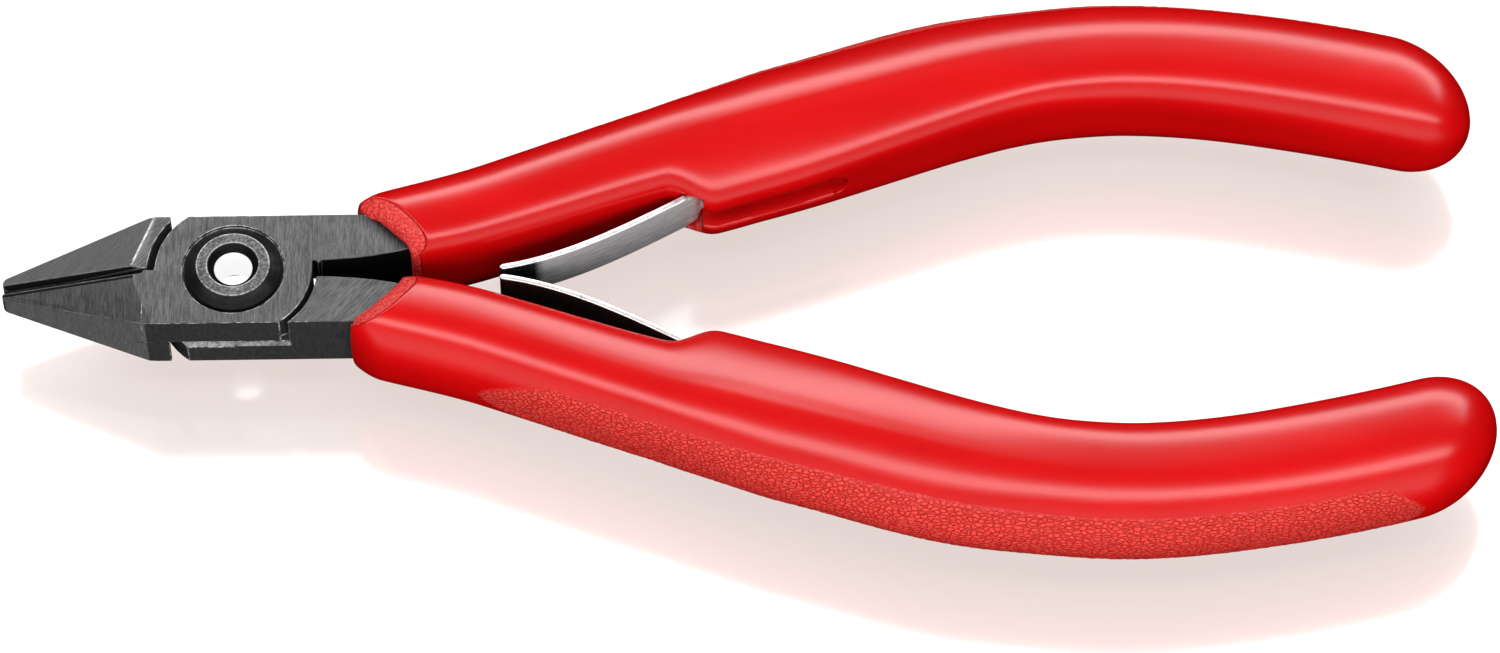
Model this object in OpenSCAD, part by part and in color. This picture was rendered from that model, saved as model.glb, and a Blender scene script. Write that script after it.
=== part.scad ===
// Flush cutter with a lap joint, sprung open by two leaf springs.
// Millimetres. The origin is the pivot axis at the middle of the head's thickness.
// -X runs to the jaw tips, +X to the handle ends, +Z is the face with the jaw facets.
// Far means the +Y side, near means the -Y side.

/* [Head] */

// Width of the head across the flats
head_width = 10.6; // [10.2:0.1:11]
// Thickness of the head and of the handle tangs
head_thickness = 6; // [5.6:0.1:6.2]
// Radius of each lever's round lap disc
disc_radius = 6.6; // [6.4:0.05:6.7]
// Radius of the hollow that clears the disc at the jaws
jaw_hollow_radius = 7.25; // [7:0.05:7.4]
// Radius of the hollow that clears the disc at the handles
tang_hollow_radius = 7.05; // [6.9:0.05:7.2]
// Running gap between the two lap faces
lap_gap = 0.04; // [0.02:0.01:0.06]

/* [Jaws] */

// Distance from the pivot axis to the jaw tips
jaw_reach = 19.6; // [18.8:0.1:20]
// Distance from the pivot axis to the jaw shoulders
shoulder_x = 5.4; // [5.2:0.05:5.6]
// Height of the jaw tips above the middle of the head
tip_height = 0.1; // [-0.2:0.1:0.6]
// Depth of the bevelled groove above the cutting edges
groove_depth = 0.57; // [0.4:0.01:0.7]
// Half the included angle of the bevelled groove
groove_angle = 41; // [36:1:44]
// Half the gap left between the closed cutting edges
edge_gap = 0.02; // [0.01:0.005:0.03]
// Half the gap at the root of the jaws
root_gap = 0.2; // [0.12:0.01:0.22]
// How far the underside of the jaws rises towards the tips
jaw_back_rise = 1.4; // [1:0.1:1.6]

/* [Rivet] */

// Radius of the rivet's shank
shank_radius = 3.7; // [3.5:0.05:3.8]
// Running clearance of the upper lever on the shank
pivot_clearance = 0.03; // [0.02:0.01:0.05]
// Outer radius of the rivet's heads
rivet_head_radius = 4.05; // [4:0.05:4.1]
// Radius of the recess around the rivet's top head
rivet_recess_radius = 4.32; // [4.3:0.01:4.4]
// Radius of the hole through the rivet
rivet_bore_radius = 1.55; // [1.4:0.05:1.6]

/* [Grip sleeves] */

// Overall thickness of the grip sleeves
sleeve_thickness = 9; // [8.6:0.1:9.4]
// Distance from the pivot axis to the handle ends
handle_reach = 105.1; // [104.4:0.1:106]
// Clearance between a tang and its sleeve
sleeve_clearance = 0.02; // [0.01:0.01:0.05]
// Height of the slot that takes the spring tail
slot_height = 2.3; // [2.2:0.1:2.5]

/* [Springs] */

// Thickness of the spring strip
spring_thickness = 0.7; // [0.6:0.05:0.7]
// Width of the spring strip
spring_width = 4.2; // [3.8:0.1:4.4]
// Width of the narrow tail inside the slot
tail_width = 1.9; // [1.6:0.1:2]
// Radius of the spring retaining pins
spring_pin_radius = 0.6; // [0.5:0.05:0.65]

/* [Part to show] */

/* [Hidden] */

$fn = 64;
half_w = head_width / 2;
half_t = head_thickness / 2;
eps = 0.01;

// Jaws
taper_x = 7.3;
tip_round = 0.6;
land_start_x = -13.5;
land_width = 0.3;
crease = [-8.5, 0.7];
crease_end = [-6.75, half_w];
relief_start_x = -13.5;
relief_stop_x = -7.6;
back_relief_start = 1.63;
back_relief_normal = [-0.17, 1, 0.66];

// Handle slot corner next to the disc
slot_corner_x = 7.1;
slot_corner_y = 0.8;
corner_round = 0.4;
neck_x = 10;
lap_chamfer_leg = 0.85;

// Rivet
rivet_face = half_t + 0.72;
rivet_face_radius = 3.08;
rivet_mouth_radius = 2.15;
rivet_back_radius = 3.4;
rivet_back = half_t + 0.4;
rivet_straight_top = half_t - 0.05;
rivet_straight_bottom = -0.4;
recess_depth = 0.3;
head_gap = 0.03;

// Sleeves: knots are [x, value, slope]
centre_knots = [[8, 3.3, 0.24], [21, 6.4, 0.36], [38, 12.6, 0.3], [58, 18.5, 0.29], [75, 21.2, 0],
                [106, 15.1, -0.28]];
outer_knots = [[9.4, 1.9, 1.3], [12.4, 4, 0.12], [34, 4.8, 0.03], [46, 6.05, 0.02], [56, 6.55, 0],
               [70, 5.65, 0], [86, 5.5, 0.02], [99, 5.9, 0]];
inner_knots = [[8, 3.9, 0], [36.1, 4.6, 0], [40.8, 7.25, 0.02], [45, 7.2, 0], [58, 6.35, -0.08],
               [70, 5.35, 0], [86, 5.5, 0.02], [99, 5.5, 0]];
outer_power_knots = [[8, 2.4, 0], [36, 2.4, 0], [43, 2.15, 0], [56, 1.95, 0], [72, 2.1, 0], [90, 2.4, 0],
                     [106, 2.4, 0]];
inner_power_knots = [[8, 5, 0], [32, 5.5, 0], [42, 7, 0], [60, 6, 0], [76, 4, 0], [106, 3, 0]];
inner_slope_knots = [[8, 0.05, 0], [30, 0.07, 0], [44, 0.075, 0], [58, 0.06, 0], [74, 0.02, 0],
                     [106, 0.02, 0]];
cap_x = 98.6;
far_front_sum = 16.7;
near_front_sum = 15.8;
front_bevel = 2.3;
section_points = 32;
body_stations = 46;
cap_stations = 9;

// Tangs
tang_bend_x = 24;
tang_cap_x = 93.5;
tang_round = 3;
tang_inner_knots = [[7, slot_corner_y, 0.02], [15, 1.9, 0.3], [24, 5.2, 0.4]];
tang_outer_knots = [[10, half_w, -0.1], [13, 5.4, 0.24], [24, 9.8, 0.4]];
tang_half_knots = [[24, 2.3, 0.03], [36, 3.3, 0.08], [43, 4.3, 0], [56, 3.5, -0.06], [70, 2.8, 0],
                   [97, 2.8, 0]];

// Springs
spring_tip = [22.3, 0.46, 0.15];
spring_root = [38.5, 7.5, 0.58];
spring_pin = [45.2, 11.6];
spring_slant = 1.1;
spring_eye = 1.3;
spring_pin_clearance = 0.04;
slot_start_x = 38.3;
slot_end_x = 51.7;
slot_depth = 1.7;
pocket_end_x = 47.6;
seat_height = 4.7;
seat_start_x = 34;
seat_end_x = 39.5;
seat_clearance = 0.5;

// Value at t of the cubic between two knots
function cubic(a, b, t) =
  let (span = b[0] - a[0])
  a[1] * (2 * pow(t, 3) - 3 * pow(t, 2) + 1) + a[2] * span * (pow(t, 3) - 2 * pow(t, 2) + t)
  + b[1] * (3 * pow(t, 2) - 2 * pow(t, 3)) + b[2] * span * (pow(t, 3) - pow(t, 2));

// Index of the knot span that holds x
function span_of(k, x, i = 0) = (i >= len(k) - 2 || x <= k[i + 1][0]) ? i : span_of(k, x, i + 1);

// Value at x of the smooth curve through the knots
function curve(k, x) =
  let (i = span_of(k, x), t = (x - k[i][0]) / (k[i + 1][0] - k[i][0]))
  cubic(k[i], k[i + 1], min(max(t, 0), 1));

function signed_power(v, p) = sign(v) * pow(abs(v), p);

// How much a sleeve section has shrunk inside the rounded end
function cap_scale(x) =
  x <= cap_x ? 1 : sqrt(max(0, 1 - pow((x - cap_x) / (handle_reach - cap_x), 2)));

// Sleeve stations: even steps along the grip, then closer ones round the end
stations = concat(
  [for (i = [0:body_stations - 1]) 8 + (cap_x - 8) * i / (body_stations - 1)],
  [for (i = [1:cap_stations]) cap_x + (handle_reach - cap_x) * sin(88 * i / cap_stations)]
);

// One closed section of a sleeve: round on the outer side, squarer on the inner side,
// where the top and bottom also slope down towards the inner wall
function section(x) =
  let (c = curve(centre_knots, x), s = cap_scale(x), half = sleeve_thickness / 2)
  [for (i = [0:section_points - 1])
    let (a = 360 * (i + 0.5) / section_points,
         outer = cos(a) > 0,
         p = 2 / curve(outer ? outer_power_knots : inner_power_knots, x),
         y = curve(outer ? outer_knots : inner_knots, x) * signed_power(cos(a), p),
         drop = outer ? 0 : curve(inner_slope_knots, x) * pow(abs(y), 1.5) / half)
    [x, c + s * y, s * (1 - drop) * half * signed_power(sin(a), p)]];

function sleeve_wall(x) = curve(centre_knots, x) - curve(inner_knots, x);

// How much a tang has narrowed inside its rounded end
function tang_end(x) =
  x <= tang_cap_x ? 1 : sqrt(max(0, 1 - pow((x - tang_cap_x) / tang_round, 2)));

function tang_half(x) = tang_end(x) * curve(tang_half_knots, x);

function tang_inner(x) =
  x < tang_bend_x ? curve(tang_inner_knots, x) : curve(centre_knots, x) - tang_half(x);

function tang_outer(x) =
  x < tang_bend_x ? curve(tang_outer_knots, x) : curve(centre_knots, x) + tang_half(x);

// The slot runs through to the tang at the spring's tail, then has a floor
function slot_floor(x) = x < pocket_end_x ? tang_inner(x) + 0.1 : sleeve_wall(x) + slot_depth;

function spring_line(x) =
  cubic(spring_tip, spring_root, (x - spring_tip[0]) / (spring_root[0] - spring_tip[0]));

// Everything behind a plane through point p whose normal is n
module half_space(p, n) {
  translate(p)
    rotate([0, acos(n[2] / norm(n)), atan2(n[1], n[0])])
      translate([-60, -60, -120])
        cube([120, 120, 120]);
}

// Handle bar in plan, on the +Y side, grown all round by the clearance
module tang_plan(grow) {
  xs = concat(
    [for (i = [0:8]) neck_x + (tang_bend_x - neck_x) * i / 8],
    [for (i = [1:20]) tang_bend_x + (tang_cap_x - tang_bend_x) * i / 20],
    [for (i = [1:6]) tang_cap_x + (tang_round + grow) * sin(15 * i)]
  );
  last = len(xs) - 1;
  polygon(concat(
    [for (i = [0:last]) [xs[i], tang_outer(xs[i]) + grow]],
    [for (i = [last:-1:0]) [xs[i], tang_inner(xs[i]) - grow]]
  ));
}

// Root of the handle bar in plan. The lap disc's rounded corner stands at the end of the slot
module tang_root_plan(with_corner) {
  corner = [for (a = [0:15:90])
    [slot_corner_x - corner_round + corner_round * sin(a),
     slot_corner_y - corner_round + corner_round * cos(a)]];
  polygon(concat(
    [[0, half_w], [0, slot_corner_y]],
    with_corner ? corner : [],
    [[slot_corner_x + 0.25, slot_corner_y]],
    [for (x = [neck_x - 1.5, neck_x]) [x, tang_inner(x)]],
    [[neck_x, half_w]]
  ));
}

// Jaw in plan, on the +Y side, as far as the pivot axis
module jaw_plan() {
  tip_centre = [-jaw_reach + tip_round, edge_gap + tip_round];
  polygon(concat(
    [[0, root_gap], [relief_stop_x, root_gap], [relief_start_x, edge_gap]],
    [for (a = [270:-15:114]) tip_centre + tip_round * [cos(a), sin(a)]],
    [[-taper_x, half_w - 0.05], [-taper_x + 0.7, half_w], [0, half_w]]
  ));
}

// Full-thickness handle root and bar on the +Y side
module tang_body() {
  difference() {
    translate([0, 0, -half_t])
      linear_extrude(head_thickness)
        union() {
          tang_plan(0);
          tang_root_plan(false);
        }
    // spring pocket
    translate([0, 0, -slot_height / 2])
      linear_extrude(slot_height)
        tail_pocket_plan();
    // hole for the spring pin
    translate([spring_pin[0], spring_pin[1], -half_t - eps])
      cylinder(h = head_thickness + 2 * eps, r = spring_pin_radius);
  }
}

// Room for the spring tail inside the handle bar
module tail_pocket_plan() {
  translate(spring_pin)
    circle(r = spring_eye + 0.25);
  polygon([
    spring_pin + [0.6, -1.4],
    spring_pin + [-1.2, 1],
    [slot_start_x - 1, spring_root[1] + 0.9],
    [slot_start_x - 1, spring_root[1] - 3],
    [slot_start_x + 4, spring_root[1] - 3]
  ]);
}

// The top-layer outline that turns on the pivot
module disc_plan() {
  intersection() {
    circle(r = disc_radius, $fn = 128);
    square([2 * disc_radius, head_width], center = true);
  }
}

// Upper-layer web that joins the near jaw, the disc and the far handle root
module web_plan() {
  disc_plan();
  tang_root_plan(true);
  rotate(180)
    square([-relief_stop_x, half_w]);
}

// A jaw with its facet, groove and back relief, on the +Y side
module jaw_body(with_land) {
  run = crease_end - crease;
  across = [-run[1], run[0]] / norm(run);
  fall = (half_t - tip_height) / (across * ([-jaw_reach, crease[1]] - crease));
  edge_height = half_t - fall * (across * ([-jaw_reach, edge_gap] - crease)) - groove_depth;
  wide = 2 * half_t;
  difference() {
    translate([0, 0, -half_t])
      linear_extrude(head_thickness)
        jaw_plan();
    // sloping top facet
    above_facet(across, fall);
    // narrow land beside the root of the cutting edge
    if (with_land)
      translate([-jaw_reach, 0, edge_height])
        rotate([0, atan(fall * across[0]), 0])
          linear_extrude(head_thickness)
            translate([jaw_reach, 0])
              polygon([[land_start_x, 0], [relief_stop_x, 0], [relief_stop_x, land_width],
                       [land_start_x, edge_gap]]);
    // rising underside
    half_space([-taper_x, 0, -half_t], [jaw_back_rise, 0, jaw_reach - taper_x]);
    // bevelled groove above the cutting edge
    translate([-jaw_reach, 0, edge_height])
      rotate([0, atan(fall * across[0]), 0])
        rotate([90, 0, 90])
          translate([0, 0, -2])
            linear_extrude(jaw_reach + 2)
              polygon([[0, 0], [wide * tan(groove_angle), wide], [-wide * tan(groove_angle), wide]]);
    // back relief
    intersection() {
      half_space([-jaw_reach, back_relief_start, -half_t], back_relief_normal);
      translate([-jaw_reach - 1, -1, -half_t - 1])
        cube([jaw_reach + 1 + relief_stop_x, half_w + 2, head_thickness]);
    }
  }
}

// Everything above the facet plane
module above_facet(across, fall) {
  half_space([crease[0], crease[1], half_t], [-across[0] * fall, -across[1] * fall, -1]);
}

// The upper lever: near jaw, upper lap disc, far handle bar
module upper_lap_lever() {
  color([0.26, 0.26, 0.27])
    lever(true);
}

// The lower lever: far jaw, lower lap disc, near handle bar
module lower_lap_lever() {
  color([0.24, 0.24, 0.25])
    lever(false);
}

// A lever, built with its lap disc on top, its jaw at -Y and its handle bar at +Y
module lever(upper) {
  flip = upper ? 0 : 180;
  difference() {
    union() {
      // lap layer
      rotate([flip, 0, 0])
        difference() {
          translate([0, 0, lap_gap / 2])
            linear_extrude(half_t - lap_gap / 2)
              web_plan();
          lap_chamfer();
        }
      // handle bar, clear of the other lever's disc
      rotate([flip, 0, 0])
        difference() {
          tang_body();
          other_disc(tang_hollow_radius);
        }
      // jaw, clear of the other lever's disc
      difference() {
        mirror([0, upper ? 1 : 0, 0])
          jaw_body(upper);
        rotate([flip, 0, 0])
          other_disc(jaw_hollow_radius);
        rotate([flip, 0, 0])
          translate([-shoulder_x, -half_w - 1, -half_t - 1])
            cube([shoulder_x + 1, half_w + 1, half_t + 1 + lap_gap / 2]);
      }
    }
    // pivot hole and recess for the rivet's head
    translate([0, 0, -half_t - 1])
      cylinder(h = head_thickness + 2, r = shank_radius + (upper ? pivot_clearance : 0));
    rotate([flip, 0, 0])
      translate([0, 0, half_t - recess_depth])
        cylinder(h = recess_depth + 1, r = upper ? rivet_recess_radius : rivet_head_radius);
  }
}

// Space swept by the other lever's disc, below the lap face
module other_disc(r) {
  translate([0, 0, -half_t - 1])
    cylinder(h = half_t + 1 + lap_gap / 2, r = r, $fn = 128);
}

// Small ground chamfer along the outer edge of the lap face
module lap_chamfer() {
  translate([0, half_w, lap_gap / 2])
    rotate([45, 0, 0])
      cube([2 * disc_radius - 4, lap_chamfer_leg * sqrt(2), lap_chamfer_leg * sqrt(2)], center = true);
}

// Hollow rivet: straight lip, flared towards the back, pressed into the lower lever
module joint_rivet() {
  seat = half_t - recess_depth;
  color([0.3, 0.3, 0.31])
    rotate_extrude($fn = 96)
      polygon([
        [rivet_bore_radius, rivet_straight_bottom],
        [rivet_bore_radius, rivet_straight_top],
        [rivet_mouth_radius, rivet_face],
        [rivet_face_radius, rivet_face],
        [rivet_head_radius, half_t],
        [rivet_head_radius, seat + head_gap],
        [shank_radius, seat + head_gap],
        [shank_radius, -seat],
        [rivet_head_radius, -seat],
        [rivet_head_radius, -half_t - 0.1],
        [rivet_head_radius - 0.3, -rivet_back],
        [rivet_back_radius, -rivet_back]
      ]);
}

// Outer skin of a sleeve
module sleeve_skin() {
  n = len(stations);
  m = section_points;
  points = [for (x = stations) each section(x)];
  sides = [for (i = [0:n - 2]) for (j = [0:m - 1])
    let (k = (j + 1) % m)
    each [[i * m + j, (i + 1) * m + j, (i + 1) * m + k], [i * m + j, (i + 1) * m + k, i * m + k]]];
  front = [for (j = [0:m - 1]) j];
  back = [for (j = [m - 1:-1:0]) (n - 1) * m + j];
  polyhedron(points = points, faces = concat([front], sides, [back]));
}

// A grip sleeve on the +Y side, cut off in front where x + y = front_sum
module sleeve(front_sum) {
  difference() {
    sleeve_skin();
    // oblique front end, bevelled above and below
    half_space([front_sum, 0, 0], [1, 1, 0]);
    for (s = [-1, 1])
      half_space([front_sum, 0, s * half_t], [1, 1, -s * front_bevel / (sleeve_thickness / 2 - half_t)]);
    // room for the handle bar
    translate([0, 0, -half_t - sleeve_clearance])
      linear_extrude(head_thickness + 2 * sleeve_clearance)
        tang_plan(sleeve_clearance);
    // slot for the spring tail, and the seat of the spring's root
    spring_slot();
    root_seat();
  }
}

// Shallow seat in the sleeve's inner wall behind the root of the spring strip
module root_seat() {
  xs = [for (i = [0:6]) seat_start_x + (seat_end_x - seat_start_x) * i / 6];
  translate([0, 0, -seat_height / 2])
    linear_extrude(seat_height)
      polygon(concat(
        [for (x = xs) [x, spring_line(x) + seat_clearance]],
        [for (i = [6:-1:0]) [xs[i], spring_line(xs[i]) - seat_clearance - 2]]
      ));
}

// Long slot in the sleeve's inner wall, rounded at its far end
module spring_slot() {
  end_x = slot_end_x - slot_height / 2;
  xs = [for (i = [0:8]) slot_start_x + (end_x - slot_start_x) * i / 8];
  translate([0, 0, -slot_height / 2])
    linear_extrude(slot_height)
      polygon(concat(
        [for (i = [0:8]) [xs[i], slot_floor(xs[i])]],
        [for (i = [8:-1:0]) [xs[i], sleeve_wall(xs[i]) - 2]]
      ));
  translate([end_x, slot_floor(end_x), 0])
    rotate([90, 0, 0])
      cylinder(h = slot_depth + 2, r = slot_height / 2, $fn = 32);
}

// A leaf spring on the +Y side: wide strip, narrow tail and rolled eye
module leaf_spring() {
  steps = 14;
  xs = [for (i = [0:steps]) spring_tip[0] + (spring_root[0] - spring_tip[0]) * i / steps];
  half = spring_thickness / 2 * spring_slant;
  along = [spring_pin[0] - spring_root[0], spring_pin[1] - spring_root[1]];
  angle = atan2(along[1], along[0]);
  difference() {
    union() {
      translate([0, 0, -spring_width / 2])
        linear_extrude(spring_width)
          polygon(concat(
            [for (x = xs) [x, spring_line(x) - half]],
            [for (i = [steps:-1:0]) [xs[i], spring_line(xs[i]) + half]]
          ));
      translate([spring_root[0], spring_root[1], -tail_width / 2])
        rotate([0, 0, angle])
          translate([-spring_thickness, -spring_thickness / 2, 0])
            cube([norm(along) + spring_thickness, spring_thickness, tail_width]);
      translate([spring_pin[0], spring_pin[1], -tail_width / 2])
        cylinder(h = tail_width, r = spring_eye, $fn = 48);
    }
    translate([spring_pin[0], spring_pin[1], -tail_width])
      cylinder(h = 2 * tail_width, r = spring_pin_radius + spring_pin_clearance);
  }
}

module retaining_pin() {
  translate([spring_pin[0], spring_pin[1], -half_t])
    cylinder(h = head_thickness, r = spring_pin_radius);
}

module far_grip_sleeve() {
  color([0.8, 0.06, 0.07])
    sleeve(far_front_sum);
}

module near_grip_sleeve() {
  color([0.8, 0.06, 0.07])
    mirror([0, 1, 0])
      sleeve(near_front_sum);
}

module far_leaf_spring() {
  color([0.6, 0.6, 0.61])
    leaf_spring();
}

module near_leaf_spring() {
  color([0.6, 0.6, 0.61])
    mirror([0, 1, 0])
      leaf_spring();
}

module far_spring_pin() {
  color([0.5, 0.5, 0.52])
    retaining_pin();
}

module near_spring_pin() {
  color([0.5, 0.5, 0.52])
    mirror([0, 1, 0])
      retaining_pin();
}

upper_lap_lever();
lower_lap_lever();
joint_rivet();
far_grip_sleeve();
near_grip_sleeve();
far_leaf_spring();
near_leaf_spring();
far_spring_pin();
near_spring_pin();
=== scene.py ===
"""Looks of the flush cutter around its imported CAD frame.

Shapes are worked out in millimetres and turned into metres when a mesh is made.
+X runs to the handle ends, +Z is the face with the jaw facets, +Y is the far side.
"""
import math

import bpy
import numpy as np
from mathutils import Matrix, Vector, noise


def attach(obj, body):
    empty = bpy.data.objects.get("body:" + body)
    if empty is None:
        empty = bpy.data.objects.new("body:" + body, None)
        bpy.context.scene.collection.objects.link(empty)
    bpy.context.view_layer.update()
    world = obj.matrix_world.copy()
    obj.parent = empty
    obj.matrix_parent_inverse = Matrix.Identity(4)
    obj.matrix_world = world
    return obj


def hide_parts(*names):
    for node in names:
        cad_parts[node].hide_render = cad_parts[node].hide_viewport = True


MM = 0.001

# Camera and floor
CAMERA_TARGET = (43.23, -4.47, 0.0)
CAMERA_ELEVATION = 58.13
CAMERA_AZIMUTH = -0.87
CAMERA_DISTANCE = 559.0
SENSOR_WIDTH = 36.0
LENS = 160.0
FLOOR_Z = -7.9
MIDDLE_X = 43

# Lamps: name, elevation, distance, azimuth, (width, height), watts
LAMPS = [("back_strip", 40, 700, 180, (1500, 190), 6.3),
         ("top_strip", 78, 700, 0, (1500, 170), 4.9),
         ("front_card", 30, 900, 0, (1800, 900), 2.6),
         ("front_fill", 14, 900, 0, (1800, 900), 15.0)]
FLOOR_HALF_SIZE = 4000
# Card that only the floor mirrors: elevation, distance, azimuth
FLOOR_CARD = (58, 1600, 180)
FLOOR_CARD_SIZE = (3600, 2200)
FLOOR_CARD_POWER = 43.0

# Steel parts
EDGE_ROUND = 0.07
SIDE_FACE_Y = (5.2, 5.4)
JAW_X = (-30, -6)
# Crease between jaw facet and lap in (x, |y|): a point of it, and its normal away from the tips
CREASE_POINT = (-8.5, 0.7)
CREASE_NORMAL = (0.935, -0.356)
GROOVE_END_X = -7.4
GROOVE_HALF_Y = 0.75
TAPER_X = -7.3
CHAMFER_AT = 4.45
LAP_REACH = 4.7
SLOT_CORNER_X = 6.4
RECESS_RADIUS = (4.0, 4.35)
LEVER_DARK = (0.064, 0.064, 0.066)
LEVER_LIGHT = (0.183, 0.183, 0.187)
LOWER_LEVER_TURN = 40

# Rivet: radii of the bore and of the bright ring on its face
BORE_RADIUS = 1.6
RING_INNER = 2.2
RING_OUTER = 3.04

# Grip sleeves: knots are [x, value, slope], the same curves as the CAD sleeves
CENTRE = [[8, 3.3, 0.24], [21, 6.4, 0.36], [38, 12.6, 0.3], [58, 18.5, 0.29], [75, 21.2, 0],
          [106, 15.1, -0.28]]
OUTER = [[9.4, 1.9, 1.3], [12.4, 4, 0.12], [34, 4.8, 0.03], [46, 6.05, 0.02], [56, 6.55, 0],
         [70, 5.65, 0], [86, 5.5, 0.02], [99, 5.9, 0]]
INNER = [[8, 3.9, 0], [36.1, 4.6, 0], [40.8, 7.25, 0.02], [45, 7.2, 0], [58, 6.35, -0.08],
         [70, 5.35, 0], [86, 5.5, 0.02], [99, 5.5, 0]]
OUTER_POWER = [[8, 2.4, 0], [36, 2.4, 0], [43, 2.15, 0], [56, 1.95, 0], [72, 2.1, 0], [90, 2.4, 0],
               [106, 2.4, 0]]
INNER_POWER = [[8, 5, 0], [32, 5.5, 0], [42, 7, 0], [60, 6, 0], [76, 4, 0], [106, 3, 0]]
INNER_SLOPE = [[8, 0.05, 0], [30, 0.07, 0], [44, 0.075, 0], [58, 0.06, 0], [74, 0.02, 0],
               [106, 0.02, 0]]
HALF_THICK = 4.5
CAP_X = 98.6
REACH = 105.1
FRONT_FAR = 16.7
FRONT_NEAR = 15.8
FRONT_RISE = 2.3 / 1.5

# Tangs inside the sleeves
TANG_HALF_Z = 3.02
TANG_GAP = 0.02
TANG_BEND_X = 24
TANG_END = 96.4
TANG_INNER = [[7, 0.8, 0.02], [15, 1.9, 0.3], [24, 5.2, 0.4]]
TANG_OUTER = [[10, 5.3, -0.1], [13, 5.4, 0.24], [24, 9.8, 0.4]]
TANG_HALF = [[24, 2.3, 0.03], [36, 3.3, 0.08], [43, 4.3, 0], [56, 3.5, -0.06], [70, 2.8, 0],
             [97, 2.8, 0]]

# Slot in each sleeve's inner wall. The CAD slot opens into the tang's pocket as far as x = 47.6.
SLOT_HALF = 1.15
SLOT_START = 38.3
SLOT_END = 51.7
SLOT_DEPTH = 1.7
SLOT_OPEN_END = 43.2
RIM = 0.25

# Cut front end of each sleeve
CREASE = 0.16
CREASE_GROOVE = 0.1
FRONT_SWELL = 0.5
GRAIN_DEPTH = 0.04

# Leaf springs: knots of the blade's ends are [x, y, slope]
TIP = [22.3, 0.46, 0.15]
ROOT = [38.5, 7.5, 0.58]
PIN = (45.2, 11.6)
STRIP_THICK = 0.58
STRIP_HALF_Z = 2.1
STRIP_CORNER = 0.13
TAIL_HALF_Z = 0.95
EYE_RADIUS = 0.97
EYE_TURN = 300

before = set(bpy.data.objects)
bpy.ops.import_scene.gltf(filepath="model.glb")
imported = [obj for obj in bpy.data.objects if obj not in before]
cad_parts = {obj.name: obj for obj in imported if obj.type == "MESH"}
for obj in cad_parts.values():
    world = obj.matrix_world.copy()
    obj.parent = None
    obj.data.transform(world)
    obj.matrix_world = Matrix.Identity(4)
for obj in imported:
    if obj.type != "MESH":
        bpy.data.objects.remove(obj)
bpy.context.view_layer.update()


# ---------------------------------------------------------------- curves

def cubic(a, b, t):
    """Value at t of the cubic between two knots."""
    span = b[0] - a[0]
    return (a[1] * (2 * t**3 - 3 * t**2 + 1) + a[2] * span * (t**3 - 2 * t**2 + t)
            + b[1] * (3 * t**2 - 2 * t**3) + b[2] * span * (t**3 - t**2))


def curve(knots, x):
    """Value at x of the smooth curve through the knots, level beyond its ends."""
    x = np.asarray(x, float)
    xs = np.array([k[0] for k in knots])
    i = np.clip(np.searchsorted(xs, x) - 1, 0, len(knots) - 2)
    a, b = np.array(knots)[i], np.array(knots)[i + 1]
    t = np.clip((x - a[..., 0]) / (b[..., 0] - a[..., 0]), 0, 1)
    return cubic(np.moveaxis(a, -1, 0), np.moveaxis(b, -1, 0), t)


def smooth(t):
    t = np.clip(t, 0, 1)
    return t * t * (3 - 2 * t)


def cap_scale(x):
    return np.sqrt(np.clip(1 - (np.maximum(x - CAP_X, 0) / (REACH - CAP_X)) ** 2, 0, 1))


def tang_inner(x):
    return np.where(x < TANG_BEND_X, curve(TANG_INNER, x), curve(CENTRE, x) - curve(TANG_HALF, x))


def tang_outer(x):
    return np.where(x < TANG_BEND_X, curve(TANG_OUTER, x), curve(CENTRE, x) + curve(TANG_HALF, x))


# ---------------------------------------------------------------- sleeve mesh

SLOT_STEPS = [0, 0.25, 0.5, 0.72, 0.88, 0.97, 1]
SLOT_LIP = [(0.02, 0.25), (0.08, 0.07), (RIM, 0.0)]
INNER_STEPS = 26
OUTER_STEPS = 40


def spread(points, count):
    """count points at even steps of arc length along a polyline, without its first point."""
    gap = np.hypot(*np.diff(points, axis=0).T)
    at = np.concatenate([[0], np.cumsum(gap)])
    want = np.linspace(0, at[-1], count + 1)[1:]
    return np.stack([np.interp(want, at, points[:, k]) for k in (0, 1)], 1)


def quarter(reach, power, start_z, slope=0.0):
    """A quarter of a section as (distance from centre line, height), from start_z to the top."""
    a = np.linspace(0, math.pi / 2, 400)
    y, z = reach * np.cos(a) ** (2 / power), HALF_THICK * np.sin(a) ** (2 / power)
    z *= 1 - slope * y**1.5 / HALF_THICK
    y0 = np.interp(start_z, z, y)
    keep = z > start_z
    return np.concatenate([[[y0, start_z]], np.stack([y[keep], z[keep]], 1)])


def half_section(x):
    """Upper half of the section at x, from the inner wall's middle over the top to the flank."""
    shape = curve(INNER, x), curve(INNER_POWER, x)
    slope = curve(INNER_SLOPE, x)
    inner = quarter(*shape, SLOT_HALF + RIM, slope)
    outer = quarter(curve(OUTER, x), curve(OUTER_POWER, x), 0.0)
    low = [t * SLOT_HALF for t in SLOT_STEPS] + [SLOT_HALF + d for d, _ in SLOT_LIP]
    wall = quarter(*shape, 0.0, slope)
    low_y = np.interp(low, wall[:, 1], wall[:, 0])
    flat = np.stack([low_y, low], 1)
    side_in = spread(inner, INNER_STEPS)
    side_out = spread(outer[::-1], OUTER_STEPS)
    return np.concatenate([flat * [-1, 1], side_in * [-1, 1], side_out])


def whole_section(x):
    """Closed section at x: from the inner wall's middle over the top, the flank and underneath."""
    top = half_section(x)
    under = top[-2:0:-1] * [1, -1]
    return np.concatenate([top, under])


def column_depths():
    """Greatest depth of the slot at each column of the section."""
    plain = [0.0] * (INNER_STEPS + OUTER_STEPS)
    half = [9.0] * len(SLOT_STEPS) + [d for _, d in SLOT_LIP] + plain
    return np.array(half + half[-2:0:-1])


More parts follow.
